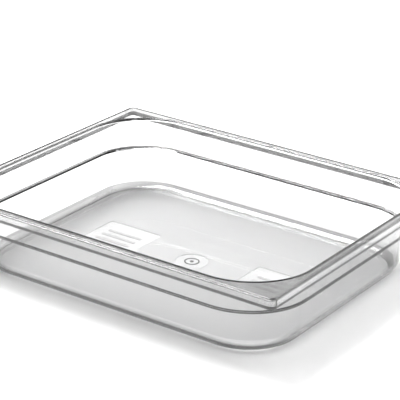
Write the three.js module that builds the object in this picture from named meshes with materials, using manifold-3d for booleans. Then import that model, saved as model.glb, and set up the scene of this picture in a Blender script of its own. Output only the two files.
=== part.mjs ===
// A clear half-size gastronorm pan, 65 mm deep. The real pan is one injection moulding, and each mesh
// here is a region of it that meets its neighbours face to face: floor, walls, wall corners, rim rails
// and rim corners. Millimetres, +Z up. The origin is the centre of the underside, +X runs along the
// longer side, and -Y is the front.
import * as THREE from "three";
import { mergeVertices } from "three/addons/utils/BufferGeometryUtils.js";
import Module from "manifold-3d";

const wasm = await Module();
wasm.setup();

// Driving dimensions. An inset is a distance in from the rim's outer edge.
const LENGTH = 325;
const WIDTH = 265;
const DEPTH = 65;
const WALL = 2.5;
const UPPER_DRAFT = THREE.MathUtils.degToRad(7); // lean of the wall above the stacking shoulder
const LOWER_DRAFT = THREE.MathUtils.degToRad(3.5); // and of the wall below it
const CORNER_INSET = 62; // of the upright axis that every rounded corner turns about
const CORNER_STEPS = 12; // facets in a quarter turn
const RIM_WIDTH = 8.2; // flange, from its outer edge to the mouth of the pan
const RIM_CORNER_RADIUS = 6;
const LIP_DROP = 9.5; // from the flange's top to the bottom of the turned-down lip
const LIP_THICKNESS = 2.6;
const SHOULDER_Z = 36.7; // underside of that shoulder
const SHOULDER_CHAMFER = 0.8;
const FLOOR_INSET = 27.5; // where the flat floor ends and the bend into the wall begins
const BEND_RADIUS = 14.5; // outer radius of that bend
const BEND_STEPS = 7;
const WINDOW_DEPTH = 0.3; // polished windows, sunk into the matt underside
const PLATE = { length: 53, width: 52, centreX: 76.5, radius: 2 };
const PLATE_BARS = { count: 3, length: 34, width: 3, pitch: 9 };
const GATE = { windowRadius: 14, ringRadius: 6.5, ringWidth: 1.2, stubRadius: 1.6 };

// Lengths that follow from them.
const FLANGE_Z = DEPTH - WALL; // underside of the flange, where the walls end
const CORNER = new THREE.Vector2(LENGTH / 2 - CORNER_INSET, WIDTH / 2 - CORNER_INSET);
const BEND_END = new THREE.Vector2(
  FLOOR_INSET - BEND_RADIUS * Math.cos(LOWER_DRAFT),
  BEND_RADIUS * (1 - Math.sin(LOWER_DRAFT)),
);

// Insets of the wall's faces at height z. Its upper part hangs from the mouth, and its lower part rises
// from the bend.
const upperInner = (z) => RIM_WIDTH + (DEPTH - z) * Math.tan(UPPER_DRAFT);
const upperOuter = (z) => upperInner(z) - WALL / Math.cos(UPPER_DRAFT);
const lowerOuter = (z) => BEND_END.x - (z - BEND_END.y) * Math.tan(LOWER_DRAFT);
const lowerInner = (z) => lowerOuter(z) + WALL / Math.cos(LOWER_DRAFT);

function clearPlastic(color, roughness) {
  return new THREE.MeshStandardMaterial({ color, roughness, metalness: 0, transparent: true, opacity: 0.35 });
}

function solidOf(geometry) {
  const bare = geometry.index ? geometry.toNonIndexed() : geometry.clone();
  bare.deleteAttribute("normal");
  bare.deleteAttribute("uv");
  const merged = mergeVertices(bare, 1e-4);
  const vertProperties = merged.attributes.position.array;
  const triVerts = new Uint32Array(merged.index.array);
  return new wasm.Manifold(new wasm.Mesh({ numProp: 3, vertProperties, triVerts }));
}

function geometryOf(solid) {
  const mesh = solid.getMesh();
  const geometry = new THREE.BufferGeometry();
  geometry.setAttribute("position", new THREE.BufferAttribute(mesh.vertProperties, 3));
  geometry.setIndex(new THREE.BufferAttribute(mesh.triVerts, 1));
  geometry.computeVertexNormals();
  return geometry;
}

function join(geometries) {
  return geometryOf(geometries.map(solidOf).reduce((a, b) => a.add(b)));
}

function plate(shape, bottom, top) {
  // An arc is cut into twice as many facets as curveSegments.
  const options = { depth: top - bottom, bevelEnabled: false, curveSegments: CORNER_STEPS / 2 };
  return new THREE.ExtrudeGeometry(shape, options).translate(0, 0, bottom);
}

// A rectangle with round corners, centred on (x, y).
function roundedRectangle(Outline, length, width, radius, x = 0, y = 0) {
  const [a, b] = [length / 2 - radius, width / 2 - radius];
  const outline = new Outline();
  outline.absarc(x + a, y + b, radius, 0, Math.PI / 2);
  outline.absarc(x - a, y + b, radius, Math.PI / 2, Math.PI);
  outline.absarc(x - a, y - b, radius, Math.PI, 1.5 * Math.PI);
  outline.absarc(x + a, y - b, radius, 1.5 * Math.PI, 2 * Math.PI);
  return outline;
}

function circle(Outline, radius) {
  return roundedRectangle(Outline, 2 * radius, 2 * radius, radius);
}

// Section of the wall as (inset, height): the bend out of the floor, the lower wall, the shoulder and
// the upper wall.
function wallSection() {
  const bend = (radius, k) => {
    const angle = THREE.MathUtils.lerp(-Math.PI / 2, -Math.PI + LOWER_DRAFT, k / BEND_STEPS);
    return [FLOOR_INSET + radius * Math.cos(angle), BEND_RADIUS + radius * Math.sin(angle)];
  };
  const steps = Array.from({ length: BEND_STEPS + 1 }, (_, k) => k);
  const ledge = SHOULDER_Z + WALL;
  return [
    ...steps.map((k) => bend(BEND_RADIUS, k)),
    [lowerOuter(SHOULDER_Z), SHOULDER_Z],
    [upperOuter(SHOULDER_Z) + SHOULDER_CHAMFER, SHOULDER_Z],
    [upperOuter(SHOULDER_Z + SHOULDER_CHAMFER), SHOULDER_Z + SHOULDER_CHAMFER],
    [upperOuter(FLANGE_Z), FLANGE_Z],
    [upperInner(FLANGE_Z), FLANGE_Z],
    [upperInner(ledge), ledge],
    [lowerInner(ledge) - SHOULDER_CHAMFER, ledge],
    [lowerInner(ledge - SHOULDER_CHAMFER), ledge - SHOULDER_CHAMFER],
    ...steps.map((k) => bend(BEND_RADIUS - WALL, k)).reverse(),
  ];
}

// Section of a rim rail: the flange and its turned-down lip.
function rimSection() {
  return [
    [0, DEPTH - LIP_DROP],
    [0, DEPTH],
    [RIM_WIDTH, DEPTH],
    [upperInner(FLANGE_Z), FLANGE_Z],
    [LIP_THICKNESS, FLANGE_Z],
    [LIP_THICKNESS, DEPTH - LIP_DROP],
  ];
}

// A section run straight along the front side, centred on x = 0.
function straightRun(section, length) {
  const shape = new THREE.Shape(section.map(([inset, z]) => new THREE.Vector2(inset, z)));
  const geometry = new THREE.ExtrudeGeometry(shape, { depth: length, bevelEnabled: false });
  const [x, y, z] = [new THREE.Vector3(1, 0, 0), new THREE.Vector3(0, 1, 0), new THREE.Vector3(0, 0, 1)];
  return geometry.applyMatrix4(new THREE.Matrix4().makeBasis(y, z, x)).translate(-length / 2, 0, 0);
}

// A closed ring or solid of revolution about +Z, from points of (radius, height).
function turned(points) {
  const profile = points.map(([radius, z]) => new THREE.Vector2(radius, z));
  const geometry = new THREE.LatheGeometry(profile, 4 * CORNER_STEPS);
  const [x, y, z] = [new THREE.Vector3(1, 0, 0), new THREE.Vector3(0, 1, 0), new THREE.Vector3(0, 0, 1)];
  return geometry.applyMatrix4(new THREE.Matrix4().makeBasis(x, z, y.negate()));
}

function quarter(solid) {
  const box = new THREE.BoxGeometry(CORNER_INSET, CORNER_INSET, 2 * DEPTH);
  box.translate(CORNER_INSET / 2, CORNER_INSET / 2, 0);
  return geometryOf(solid.intersect(solidOf(box)));
}

// The floor: the matt flat, two polished plates with plain raised bars, and the round window about the
// moulding gate.
function floorPanel() {
  const size = [LENGTH - 2 * FLOOR_INSET, WIDTH - 2 * FLOOR_INSET];
  const flat = roundedRectangle(THREE.Shape, ...size, CORNER_INSET - FLOOR_INSET);
  const skin = flat.clone();
  const islands = [];
  for (const side of [-1, 1]) {
    const x = side * PLATE.centreX;
    skin.holes.push(roundedRectangle(THREE.Path, PLATE.length, PLATE.width, PLATE.radius, x));
    for (let k = 0; k < PLATE_BARS.count; k++) {
      const y = (k - (PLATE_BARS.count - 1) / 2) * PLATE_BARS.pitch;
      const bar = [PLATE_BARS.length, PLATE_BARS.width, PLATE_BARS.width / 3, x, y];
      islands.push(roundedRectangle(THREE.Shape, ...bar));
    }
  }
  skin.holes.push(circle(THREE.Path, GATE.windowRadius));
  const ring = circle(THREE.Shape, GATE.ringRadius);
  ring.holes.push(circle(THREE.Path, GATE.ringRadius - GATE.ringWidth));
  islands.push(ring, circle(THREE.Shape, GATE.stubRadius));
  const below = [skin, ...islands].map((shape) => plate(shape, 0, WINDOW_DEPTH));
  return join([plate(flat, WINDOW_DEPTH, WALL), ...below]);
}

function wallCorner() {
  const ring = wallSection().map(([inset, z]) => [CORNER_INSET - inset, z]);
  return quarter(solidOf(turned([...ring, ring[0]])));
}

// The square corner of the rim: a plate with a round mouth cut into it, and the lip round its outside.
function rimCorner() {
  const [edge, inside] = [CORNER_INSET, CORNER_INSET - LIP_THICKNESS];
  const bend = edge - RIM_CORNER_RADIUS;
  const outline = () => {
    const shape = new THREE.Shape().moveTo(edge, 0).lineTo(edge, bend);
    return shape.absarc(bend, bend, RIM_CORNER_RADIUS, 0, Math.PI / 2).lineTo(0, edge);
  };
  const flange = outline().lineTo(0, 0);
  const lip = outline().lineTo(0, inside).lineTo(inside, inside).lineTo(inside, 0);
  const mouth = turned([
    [0, FLANGE_Z - WALL],
    [CORNER_INSET - upperInner(FLANGE_Z - WALL), FLANGE_Z - WALL],
    [CORNER_INSET - upperInner(DEPTH + WALL), DEPTH + WALL],
    [0, DEPTH + WALL],
  ]);
  const whole = join([plate(flange, FLANGE_Z, DEPTH), plate(lip, DEPTH - LIP_DROP, FLANGE_Z)]);
  return geometryOf(solidOf(whole).subtract(solidOf(mouth)));
}

// Adds a mesh that is built for the front side, or for the corner at +X +Y, turned about +Z.
function place(pan, name, geometry, material, quarters, position) {
  const mesh = new THREE.Mesh(geometry, material);
  mesh.name = name;
  mesh.position.set(...position);
  const turn = new THREE.Group();
  turn.rotation.z = (quarters * Math.PI) / 2;
  pan.add(turn.add(mesh));
}

function buildPan() {
  const pan = new THREE.Group();
  const clear = () => clearPlastic(0xf1f4f5, 0.06);
  place(pan, "floor_panel", floorPanel(), clearPlastic(0xe9ecee, 0.4), 0, [0, 0, 0]);
  ["front", "right", "back", "left"].forEach((side, k) => {
    const [run, away] = k % 2 ? [2 * CORNER.y, LENGTH / 2] : [2 * CORNER.x, WIDTH / 2];
    place(pan, `wall_${side}`, straightRun(wallSection(), run), clear(), k, [0, -away, 0]);
    place(pan, `rim_${side}`, straightRun(rimSection(), run), clear(), k, [0, -away, 0]);
  });
  ["back_right", "back_left", "front_left", "front_right"].forEach((corner, k) => {
    const [x, y] = k % 2 ? [CORNER.y, CORNER.x] : [CORNER.x, CORNER.y];
    place(pan, `wall_corner_${corner}`, wallCorner(), clear(), k, [x, y, 0]);
    place(pan, `rim_corner_${corner}`, rimCorner(), clear(), k, [x, y, 0]);
  });
  return pan;
}

export default buildPan();
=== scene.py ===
import math
from typing import NamedTuple

import bpy
from mathutils import Matrix, Vector
from mathutils.geometry import tessellate_polygon

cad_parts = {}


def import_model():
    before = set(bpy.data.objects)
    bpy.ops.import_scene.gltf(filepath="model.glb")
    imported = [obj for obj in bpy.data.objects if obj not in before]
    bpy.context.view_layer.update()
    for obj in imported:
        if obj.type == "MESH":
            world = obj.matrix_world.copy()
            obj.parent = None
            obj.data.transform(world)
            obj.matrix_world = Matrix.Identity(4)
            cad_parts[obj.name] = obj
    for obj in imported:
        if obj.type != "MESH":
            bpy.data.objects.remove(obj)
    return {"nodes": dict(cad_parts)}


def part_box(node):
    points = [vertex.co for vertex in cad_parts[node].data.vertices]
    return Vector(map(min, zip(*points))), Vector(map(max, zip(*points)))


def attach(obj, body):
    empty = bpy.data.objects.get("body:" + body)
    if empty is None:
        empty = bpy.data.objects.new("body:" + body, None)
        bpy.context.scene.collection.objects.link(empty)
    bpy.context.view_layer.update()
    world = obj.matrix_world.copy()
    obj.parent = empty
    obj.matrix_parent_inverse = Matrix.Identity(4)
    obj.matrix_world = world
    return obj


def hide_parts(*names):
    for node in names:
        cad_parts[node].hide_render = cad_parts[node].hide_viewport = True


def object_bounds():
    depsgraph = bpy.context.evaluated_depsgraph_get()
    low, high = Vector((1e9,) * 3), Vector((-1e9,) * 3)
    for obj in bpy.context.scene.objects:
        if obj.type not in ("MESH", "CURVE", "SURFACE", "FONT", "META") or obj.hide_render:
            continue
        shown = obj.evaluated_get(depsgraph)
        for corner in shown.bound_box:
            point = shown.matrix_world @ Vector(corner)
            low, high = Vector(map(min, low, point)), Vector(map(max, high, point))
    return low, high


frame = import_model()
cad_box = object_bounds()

# A clear gastronorm pan, moulded in one piece. Its skin is one closed mesh, swept from the section of the
# wall and rim, with the floor's flat faces filled in. Lengths are metres.
MM = 0.001

# Dimensions that the frame gives. An inset is a distance in from the rim's outer edge.
HALF_LENGTH = cad_box[1].x
HALF_WIDTH = cad_box[1].y
DEPTH = cad_box[1].z
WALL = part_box("floor_panel")[1].z
FLANGE_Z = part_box("wall_front")[1].z
LIP_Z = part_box("rim_front")[0].z
CORNER_INSET = HALF_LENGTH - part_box("rim_front")[1].x
FLOOR_INSET = HALF_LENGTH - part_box("floor_panel")[1].x

# The rest of the wall's section.
UPPER_DRAFT = math.radians(7)
LOWER_DRAFT = math.radians(3.5)
SHOULDER_Z = 36.7 * MM
SHOULDER_BAND_Z = SHOULDER_Z + 2.3 * MM  # top of the band of painted shade on the shoulder's outer edge
LIP_BAND_Z = LIP_Z + 3.5 * MM  # top of the band of painted shade on the lip's lower edge
LEDGE_Z = SHOULDER_Z + WALL
RIM_WIDTH = 8.2 * MM
RIM_CORNER_RADIUS = 6 * MM
LIP_THICKNESS = 2.6 * MM
BEND_RADIUS = 14.5 * MM

# Facets: in a wall corner's quarter turn, in a bend, in a small rounded edge and in a circle.
CORNER_STEPS = 30
BEND_STEPS = 14
EDGE_STEPS = 5
CIRCLE_STEPS = 48

# The floor's texture and windows.
TEXTURE_INSET, TEXTURE_RADIUS = 30 * MM, 14 * MM
TEXTURE_SOFT_EDGE = 0.5 * MM
WINDOW_DEPTH = 0.3 * MM
PLATE_LENGTH, PLATE_WIDTH, PLATE_X = 53 * MM, 52 * MM, 76.5 * MM
PLATE_RADIUS = 2 * MM
BAR_COUNT, BAR_LENGTH, BAR_WIDTH, BAR_PITCH = 3, 34 * MM, 3 * MM, 9 * MM
GATE_RADIUS = 14 * MM
RING_RADIUS, RING_WIDTH = 6.5 * MM, 1.2 * MM
STUB_RADIUS = 1.6 * MM

# The plastic. A shaded face or edge darkens the light that passes it, by its share of shade. This is painted
# shade:
# it draws the dark lines and grey that the dark surroundings seen through the edges and the shade under the
# pan give.
POLYCARBONATE_IOR = 1.585
ABSORPTION = 15.0  # of light, for each metre of plastic
PAINTED_SHADE_DARKEST = 0.02  # light left after passing a face with full painted shade
BEND_BAND = range(3, 9)  # the bend's facets with the darkest painted shade, counted from the underside: a dark line along the pan's foot
BEND_BAND_SHADE = 0.85
POLISHED_ROUGHNESS = 0.0, 0.03
TEXTURED_ROUGHNESS = 0.4, 0.5
WAVE_HEIGHT = 0.02 * MM
NOISE_RANGE = 0.3, 0.7  # the noise texture's usual lowest and highest values

# Quarters of a turn, as the signs of x and y.
QUARTERS = [(1, 1), (-1, 1), (-1, -1), (1, -1)]


class Look(NamedTuple):
    """A face's shares of matt grain and of painted shade."""
    matt: float
    shade: float


# Painted shade in the looks: the matt floor's is greyed for the shade under the pan, and the windows' bars,
# ring, stub and upright steps are darkened to draw their outlines as refracting edges would.
CLEAR = Look(0.0, 0.0)
MATT_AND_PAINTED_SHADE = Look(1.0, 0.14)
PLATE_BAR = Look(0.0, 0.2)
GATE_STUB = Look(0.0, 0.8)
STEP = Look(0.0, 1.0)


# ---- the section of wall and rim ----

def upper_inner(z):
    return RIM_WIDTH + (DEPTH - z) * math.tan(UPPER_DRAFT)


def upper_outer(z):
    return upper_inner(z) - WALL / math.cos(UPPER_DRAFT)


def lower_outer(z):
    bend_x = FLOOR_INSET - BEND_RADIUS * math.cos(LOWER_DRAFT)
    bend_z = BEND_RADIUS * (1 - math.sin(LOWER_DRAFT))
    return bend_x - (z - bend_z) * math.tan(LOWER_DRAFT)


def lower_inner(z):
    return lower_outer(z) + WALL / math.cos(LOWER_DRAFT)


class Corner(NamedTuple):
    """A corner of the section, and the flat after it. A square one follows the rim's square outline in plan,
    and the others follow the pan's round one. One with 0 steps only marks a change of painted shade on a
    flat."""
    inset: float
    z: float
    radius: float = 0.1 * MM
    steps: int = EDGE_STEPS
    square: bool = False
    # painted shade on the rounded edge, and on the flat after it
    edge_shade: float = 0
    flat_shade: float = 0


def section_corners():
    """The section's corners, from the underside up the outside, over the rim and down to the floor's top."""
    # The shade values are painted shade: dark lines on the rounded edges, the shoulder, the lip and the bend,
    # and grey on the walls and rim, for the dark surroundings seen through the plastic and the shade under
    # the pan.
    return [
        Corner(FLOOR_INSET, 0),
        Corner(lower_outer(0), 0, BEND_RADIUS, BEND_STEPS, edge_shade=0.35, flat_shade=0.48),
        Corner(lower_outer(SHOULDER_Z), SHOULDER_Z, 0.2 * MM, edge_shade=0.2, flat_shade=0.25),
        Corner(upper_outer(SHOULDER_Z), SHOULDER_Z, 1.6 * MM, edge_shade=1, flat_shade=1),
        Corner(upper_outer(SHOULDER_BAND_Z), SHOULDER_BAND_Z, steps=0, flat_shade=0.5),
        Corner(upper_outer(FLANGE_Z), FLANGE_Z, 0.8 * MM, flat_shade=0.1),
        Corner(LIP_THICKNESS, FLANGE_Z, 0.5 * MM, square=True, flat_shade=0.15),
        Corner(LIP_THICKNESS, LIP_Z, 0.3 * MM, square=True, edge_shade=0.5, flat_shade=1),
        Corner(0, LIP_Z, 2.2 * MM, square=True, edge_shade=1, flat_shade=1),
        Corner(0, LIP_BAND_Z, steps=0, square=True, flat_shade=0.2),
        Corner(0, DEPTH, 2.2 * MM, square=True, edge_shade=0.8, flat_shade=0.28),
        Corner(RIM_WIDTH, DEPTH, 2.0 * MM, edge_shade=0.3),
        Corner(upper_inner(LEDGE_Z), LEDGE_Z, 0.4 * MM, edge_shade=0.3, flat_shade=0.4),
        Corner(lower_inner(LEDGE_Z), LEDGE_Z, 2.0 * MM),
        Corner(lower_inner(WALL), WALL, BEND_RADIUS - WALL, BEND_STEPS),
        Corner(FLOOR_INSET, WALL),
    ]


def rounded_section():
    """Points (place, normal, square, look) with every corner rounded, where a place is (inset, height). The
    first and last corners only give directions, as the bends end there."""
    corners = section_corners()
    points = []
    for k in range(1, len(corners) - 1):
        corner = corners[k]
        here = Vector(corner[:2])
        before = (here - Vector(corners[k - 1][:2])).normalized()
        after = (Vector(corners[k + 1][:2]) - here).normalized()
        turn = math.atan2(before.x * after.y - before.y * after.x, before.dot(after))
        reach = corner.radius * math.tan(abs(turn) / 2)
        start = here - before * reach
        side = math.copysign(1, turn)
        centre = start + Vector((-before.y, before.x)) * side * corner.radius
        in_outer_bend = k == 1
        for step in range(corner.steps + 1):
            arm = Matrix.Rotation(turn * step / max(corner.steps, 1), 2) @ (start - centre)
            on_edge = step < corner.steps
            shade = corner.edge_shade if on_edge else corner.flat_shade
            # painted shade: a dark band along the bend, for the shade under the pan's foot seen through it
            if in_outer_bend and step in BEND_BAND:
                shade = BEND_BAND_SHADE
            look = Look(float(in_outer_bend and on_edge), shade)
            points.append((centre + arm, arm.normalized() * -side, corner.square, look))
    return points


# ---- rings in plan ----

def round_corner(inset):
    """A wall corner in the frame of its own upright axis, as (place, outward direction)."""
    radius = CORNER_INSET - inset
    for step in range(CORNER_STEPS + 1):
        angle = math.pi / 2 * step / CORNER_STEPS
        direction = Vector((math.cos(angle), math.sin(angle)))
        yield direction * radius, direction


def square_corner(inset):
    """The rim's square corner about the same axis, with as many points: a straight, an arc and a straight."""
    third = CORNER_STEPS // 3
    reach = CORNER_INSET - inset
    radius = max(RIM_CORNER_RADIUS - inset, 0.5 * MM)
    flat = reach - radius
    for step in range(third):
        yield Vector((reach, flat * step / third)), Vector((1, 0))
    for step in range(third + 1):
        angle = math.pi / 2 * step / third
        direction = Vector((math.cos(angle), math.sin(angle)))
        yield Vector((flat, flat)) + direction * radius, direction
    for step in range(third - 1, -1, -1):
        yield Vector((flat * step / third, reach)), Vector((0, 1))


def ring(inset, square=False):
    """One level outline of the pan, anticlockwise from above, as (place, outward direction)."""
    for quarter, (sx, sy) in enumerate(QUARTERS):
        axis = Vector((sx * (HALF_LENGTH - CORNER_INSET), sy * (HALF_WIDTH - CORNER_INSET)))
        turn = Matrix.Rotation(quarter * math.pi / 2, 2)
        for place, direction in square_corner(inset) if square else round_corner(inset):
            yield axis + turn @ place, turn @ direction


# ---- the mesh ----

class Skin:
    """Collects vertices, faces, each corner's normal and each face's look."""

    def __init__(self):
        self.points, self.faces, self.normals, self.looks = [], [], [], []

    def add_points(self, places, z):
        first = len(self.points)
        self.points += [(place.x, place.y, z) for place in places]
        return list(range(first, len(self.points)))

    def add_face(self, indices, normals, look):
        self.faces.append(indices)
        self.normals += normals
        self.looks.append(look)

    def bridge(self, low, high, low_normals, high_normals, look):
        """Quads between two loops of as many points."""
        count = len(low)
        for k in range(count):
            n = (k + 1) % count
            quad = [low[k], low[n], high[n], high[k]]
            normals = [low_normals[k], low_normals[n], high_normals[n], high_normals[k]]
            self.add_face(quad, normals, look)

    def fill(self, loops, normal, look=CLEAR):
        """Flat triangles inside the first loop of indices and outside the rest."""
        outlines = [[Vector(self.points[i]) for i in loop] for loop in loops]
        indices = [i for loop in loops for i in loop]
        triangles = [[indices[i] for i in triangle] for triangle in tessellate_polygon(outlines)]
        facing = Vector()
        for triangle in triangles:
            a, b, c = (Vector(self.points[i]) for i in triangle)
            facing += (b - a).cross(c - a)
        order = 1 if facing.dot(normal) > 0 else -1
        for triangle in triangles:
            self.add_face(triangle[::order], [normal] * 3, look)

    def step_between(self, outline, low, high, upright):
        """A wall on an outline. Upright is 1 where it faces out of the outline, and -1 where it faces in."""
        count = len(outline)
        for k in range(count):
            n = (k + 1) % count
            along = outline[n] - outline[k]
            normal = Vector((along.y, -along.x, 0)).normalized() * upright
            quad = [low[k], low[n], high[n], high[k]]
            self.add_face(quad if upright > 0 else quad[::-1], [normal] * 4, STEP)

    def to_object(self, name, material):
        mesh = bpy.data.meshes.new(name)
        mesh.from_pydata(self.points, [], self.faces)
        mesh.shade_smooth()
        for attribute, values in zip(Look._fields, zip(*self.looks)):
            mesh.attributes.new(attribute, "FLOAT", "FACE").data.foreach_set("value", values)
        mesh.normals_split_custom_set([tuple(normal) for normal in self.normals])
        mesh.materials.append(material)
        mesh.validate()
        skin = bpy.data.objects.new(name, mesh)
        bpy.context.scene.collection.objects.link(skin)
        return skin


def rounded_rectangle(length, width, radius, x=0.0, y=0.0, steps=6):
    """An outline with round corners, anticlockwise from above."""
    outline = []
    for quarter, (sx, sy) in enumerate(QUARTERS):
        centre = Vector((x + sx * (length / 2 - radius), y + sy * (width / 2 - radius)))
        for step in range(steps + 1):
            angle = math.pi / 2 * (quarter + step / steps)
            outline.append(centre + Vector((math.cos(angle), math.sin(angle))) * radius)
    return outline


def circle(radius):
    turns = (2 * math.pi * step / CIRCLE_STEPS for step in range(CIRCLE_STEPS))
    return [Vector((math.cos(angle), math.sin(angle))) * radius for angle in turns]


def sweep_section(skin):
    """The walls and rim. Returns the loops where the underside and the floor's top begin."""
    loops = []
    for place, normal, square, look in rounded_section():
        outline = list(ring(place.x, square))
        indices = skin.add_points([p for p, _ in outline], place.y)
        normals = [Vector((d.x * -normal.x, d.y * -normal.x, normal.y)) for _, d in outline]
        loops.append((indices, normals, look))
    for (low, low_normals, look), (high, high_normals, _) in zip(loops, loops[1:]):
        skin.bridge(low, high, low_normals, high_normals, look)
    return loops[0][0], loops[-1][0]


def recess(skin, outline, islands, look):
    """A polished recess in the underside, with flat-topped islands that may hold recesses of their own. The
    look is that of the islands' tops. Returns the recess's rim."""
    down = Vector((0, 0, -1))
    rim = skin.add_points(outline, 0)
    ceiling = skin.add_points(outline, WINDOW_DEPTH)
    skin.step_between(outline, rim, ceiling, -1)
    roots = []
    for island, recesses in islands:
        foot = skin.add_points(island, 0)
        root = skin.add_points(island, WINDOW_DEPTH)
        skin.step_between(island, foot, root, 1)
        inner_rims = [recess(skin, *inner, look) for inner in recesses]
        skin.fill([foot, *inner_rims], down, look)
        roots.append(root)
    skin.fill([ceiling, *roots], down)
    return rim


def underside(skin, edge):
    """The matt flat, the two polished windows with raised bars, and the round one about the moulding gate."""
    rims = []
    for side in (-1, 1):
        x = side * PLATE_X
        offsets = [(k - (BAR_COUNT - 1) / 2) * BAR_PITCH for k in range(BAR_COUNT)]
        bars = [(rounded_rectangle(BAR_LENGTH, BAR_WIDTH, BAR_WIDTH / 3, x, y), []) for y in offsets]
        plate = rounded_rectangle(PLATE_LENGTH, PLATE_WIDTH, PLATE_RADIUS, x)
        rims.append(recess(skin, plate, bars, PLATE_BAR))
    stub = (circle(STUB_RADIUS), [])
    gate_ring = (circle(RING_RADIUS), [(circle(RING_RADIUS - RING_WIDTH), [stub])])
    rims.append(recess(skin, circle(GATE_RADIUS), [gate_ring], GATE_STUB))
    skin.fill([edge, *rims], Vector((0, 0, -1)), MATT_AND_PAINTED_SHADE)


def build_pan(material):
    skin = Skin()
    bottom, top = sweep_section(skin)
    skin.fill([top], Vector((0, 0, 1)))
    underside(skin, bottom)
    return skin.to_object("pan_skin", material)


# ---- materials ----

def new_material(name):
    material = bpy.data.materials.new(name)
    material.use_nodes = True
    return material, material.node_tree, material.node_tree.nodes["Principled BSDF"]


def noise(tree, scale, detail=2.0):
    """Noise in the pan's own metres."""
    place = tree.nodes.new("ShaderNodeTexCoord")
    texture = tree.nodes.new("ShaderNodeTexNoise")
    texture.inputs["Scale"].default_value = scale
    texture.inputs["Detail"].default_value = detail
    tree.links.new(place.outputs["Object"], texture.inputs["Vector"])
    return texture.outputs["Fac"]


def spread(tree, value, low, high):
    """Maps a noise value to a range of numbers."""
    ranged = tree.nodes.new("ShaderNodeMapRange")
    ranged.inputs["From Min"].default_value = NOISE_RANGE[0]
    ranged.inputs["From Max"].default_value = NOISE_RANGE[1]
    ranged.inputs["To Min"].default_value = low
    ranged.inputs["To Max"].default_value = high
    tree.links.new(value, ranged.inputs["Value"])
    return ranged.outputs["Result"]


def bump(tree, height, distance):
    node = tree.nodes.new("ShaderNodeBump")
    node.inputs["Distance"].default_value = distance
    tree.links.new(height, node.inputs["Height"])
    return node.outputs["Normal"]


def calculate(tree, operation, *values):
    """A math node. Each value is a number or an output socket."""
    node = tree.nodes.new("ShaderNodeMath")
    node.operation = operation
    for socket, value in zip(node.inputs, values):
        if isinstance(value, (int, float)):
            socket.default_value = value
        else:
            tree.links.new(value, socket)
    return node.outputs["Value"]


def face_attribute(tree, name):
    node = tree.nodes.new("ShaderNodeAttribute")
    node.attribute_name = name
    return node.outputs["Fac"]


def texture_share(tree):
    """The floor's matt grain: the faces that may carry it, inside a rectangle with round corners."""
    place = tree.nodes.new("ShaderNodeTexCoord")
    split = tree.nodes.new("ShaderNodeSeparateXYZ")
    tree.links.new(place.outputs["Object"], split.inputs["Vector"])
    squares = []
    for axis, half in (("X", HALF_LENGTH), ("Y", HALF_WIDTH)):
        straight = half - TEXTURE_INSET - TEXTURE_RADIUS
        beyond = calculate(tree, "SUBTRACT", calculate(tree, "ABSOLUTE", split.outputs[axis]), straight)
        squares.append(calculate(tree, "POWER", calculate(tree, "MAXIMUM", beyond, 0.0), 2.0))
    reach = calculate(tree, "SQRT", calculate(tree, "ADD", *squares))
    inside = tree.nodes.new("ShaderNodeMapRange")
    inside.inputs["From Min"].default_value = TEXTURE_RADIUS + TEXTURE_SOFT_EDGE
    inside.inputs["From Max"].default_value = TEXTURE_RADIUS - TEXTURE_SOFT_EDGE
    tree.links.new(reach, inside.inputs["Value"])
    return calculate(tree, "MULTIPLY", inside.outputs["Result"], face_attribute(tree, "matt"))


def polycarbonate():
    """Clear plastic: polished, with faint flow waves from the mould, a matt grain on the floor's underside
    and painted shade on its edges and faces. The shade is fixed to the faces, so it doesn't change with the
    view."""
    material, tree, shader = new_material("clear_polycarbonate")
    # Painted shade: each face's share of shade darkens the base colour towards near black.
    painted_shade_mix = tree.nodes.new("ShaderNodeMix")
    painted_shade_mix.data_type = "RGBA"
    tree.links.new(face_attribute(tree, "shade"), painted_shade_mix.inputs["Factor"])
    painted_shade_mix.inputs["A"].default_value = (1, 1, 1, 1)
    painted_shade_mix.inputs["B"].default_value = (PAINTED_SHADE_DARKEST, PAINTED_SHADE_DARKEST, PAINTED_SHADE_DARKEST, 1)
    tree.links.new(painted_shade_mix.outputs["Result"], shader.inputs["Base Color"])
    shader.inputs["Transmission Weight"].default_value = 1
    shader.inputs["IOR"].default_value = POLYCARBONATE_IOR
    matt = texture_share(tree)
    polished = spread(tree, noise(tree, 60), *POLISHED_ROUGHNESS)
    textured = spread(tree, noise(tree, 400), *TEXTURED_ROUGHNESS)
    roughness = tree.nodes.new("ShaderNodeMix")
    tree.links.new(matt, roughness.inputs["Factor"])
    tree.links.new(polished, roughness.inputs["A"])
    tree.links.new(textured, roughness.inputs["B"])
    tree.links.new(roughness.outputs["Result"], shader.inputs["Roughness"])
    waves = bump(tree, noise(tree, 25, detail=1), WAVE_HEIGHT)
    tree.links.new(waves, shader.inputs["Normal"])
    body = tree.nodes.new("ShaderNodeVolumeAbsorption")
    body.inputs["Color"].default_value = (0.0, 0.0, 0.0, 1)
    body.inputs["Density"].default_value = ABSORPTION
    tree.links.new(body.outputs["Volume"], tree.nodes["Material Output"].inputs["Volume"])
    return material


# ---- studio ----

CAMERA_AT = Vector((0.7569, -1.1009, 0.6155))
CAMERA_AZIMUTH = math.radians(34.28)
CAMERA_ELEVATION = math.radians(22.69)
CAMERA_ROLL = math.radians(1.6)
LENS_MM, SENSOR_MM = 159.5, 36

# The soft light overhead, whose direction leans away from the camera.
LIGHT_ELEVATION = math.radians(82)
LIGHT_HALF_ANGLE = math.radians(50)
LIGHT_SOFT_EDGE = math.radians(4)
LIGHT_STRENGTH, ROOM_STRENGTH, BACKDROP_STRENGTH = 1.5, 0.24, 1.0

SOFTBOX_AT = Vector((-0.7, 0.2, 1.4))
SOFTBOX_SIZE, SOFTBOX_WATTS = 1.0, 44

TABLE_HALF_SIDE, TABLE_GAP, TABLE_WHITE = 18, 0.1 * MM, 0.92


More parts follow.
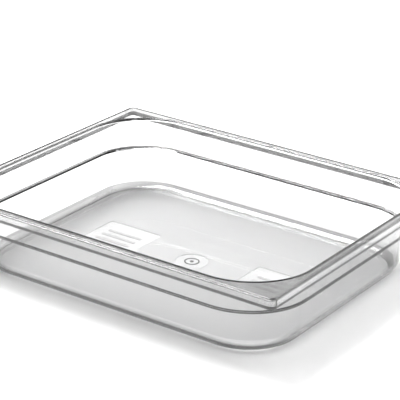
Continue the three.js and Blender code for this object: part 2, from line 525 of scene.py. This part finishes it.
def camera():
    data = bpy.data.cameras.new("camera")
    data.lens = LENS_MM
    data.sensor_width = SENSOR_MM
    data.clip_end = 100
    back = Vector((
        math.sin(CAMERA_AZIMUTH) * math.cos(CAMERA_ELEVATION),
        -math.cos(CAMERA_AZIMUTH) * math.cos(CAMERA_ELEVATION),
        math.sin(CAMERA_ELEVATION),
    ))
    level = Vector((math.cos(CAMERA_AZIMUTH), math.sin(CAMERA_AZIMUTH), 0))
    basis = Matrix((level, back.cross(level), back)).transposed().to_4x4()
    view = bpy.data.objects.new("camera", data)
    view.matrix_world = Matrix.Translation(CAMERA_AT) @ basis @ Matrix.Rotation(CAMERA_ROLL, 4, "Z")
    bpy.context.scene.collection.objects.link(view)
    bpy.context.scene.camera = view


def floor():
    mesh = bpy.data.meshes.new("table")
    corners = [(sx * TABLE_HALF_SIDE, sy * TABLE_HALF_SIDE, 0) for sx, sy in QUARTERS]
    mesh.from_pydata(corners, [], [(0, 1, 2, 3)])
    table = bpy.data.objects.new("table", mesh)
    table.location.z = -TABLE_GAP
    bpy.context.scene.collection.objects.link(table)
    material, _, shader = new_material("table")
    shader.inputs["Base Color"].default_value = (TABLE_WHITE, TABLE_WHITE, TABLE_WHITE, 1)
    shader.inputs["Roughness"].default_value = 0.9
    shader.inputs["Specular IOR Level"].default_value = 0.0
    mesh.materials.append(material)


def world():
    """One large soft light overhead in a dim room, in front of a white backdrop."""
    scene = bpy.context.scene
    scene.world = bpy.data.worlds.new("studio")
    scene.world.use_nodes = True
    tree = scene.world.node_tree
    nodes, links = tree.nodes, tree.links
    place = nodes.new("ShaderNodeTexCoord")
    facing = nodes.new("ShaderNodeVectorMath")
    facing.operation = "DOT_PRODUCT"
    facing.inputs[1].default_value = (
        -math.sin(CAMERA_AZIMUTH) * math.cos(LIGHT_ELEVATION),
        math.cos(CAMERA_AZIMUTH) * math.cos(LIGHT_ELEVATION),
        math.sin(LIGHT_ELEVATION),
    )
    links.new(place.outputs["Generated"], facing.inputs[0])
    strength = nodes.new("ShaderNodeMapRange")
    strength.interpolation_type = "SMOOTHSTEP"
    strength.inputs["From Min"].default_value = math.cos(LIGHT_HALF_ANGLE + LIGHT_SOFT_EDGE)
    strength.inputs["From Max"].default_value = math.cos(LIGHT_HALF_ANGLE - LIGHT_SOFT_EDGE)
    strength.inputs["To Min"].default_value = ROOM_STRENGTH
    strength.inputs["To Max"].default_value = LIGHT_STRENGTH
    links.new(facing.outputs["Value"], strength.inputs["Value"])
    path = nodes.new("ShaderNodeLightPath")
    seen = nodes.new("ShaderNodeMix")
    links.new(path.outputs["Is Camera Ray"], seen.inputs["Factor"])
    links.new(strength.outputs["Result"], seen.inputs["A"])
    seen.inputs["B"].default_value = BACKDROP_STRENGTH
    background = nodes["Background"]
    background.inputs["Color"].default_value = (1, 1, 1, 1)
    links.new(seen.outputs["Result"], background.inputs["Strength"])


def softbox():
    """A large soft light above and to the left of the pan."""
    data = bpy.data.lights.new("softbox", "AREA")
    data.shape = "SQUARE"
    data.size = SOFTBOX_SIZE
    data.energy = SOFTBOX_WATTS
    light = bpy.data.objects.new("softbox", data)
    light.location = SOFTBOX_AT
    light.rotation_euler = (-light.location).to_track_quat("-Z", "Y").to_euler()
    bpy.context.scene.collection.objects.link(light)


pan = build_pan(polycarbonate())
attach(pan, "root")
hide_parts(*frame["nodes"])
camera()
floor()
world()
softbox()
bpy.context.scene.view_settings.view_transform = "Standard"
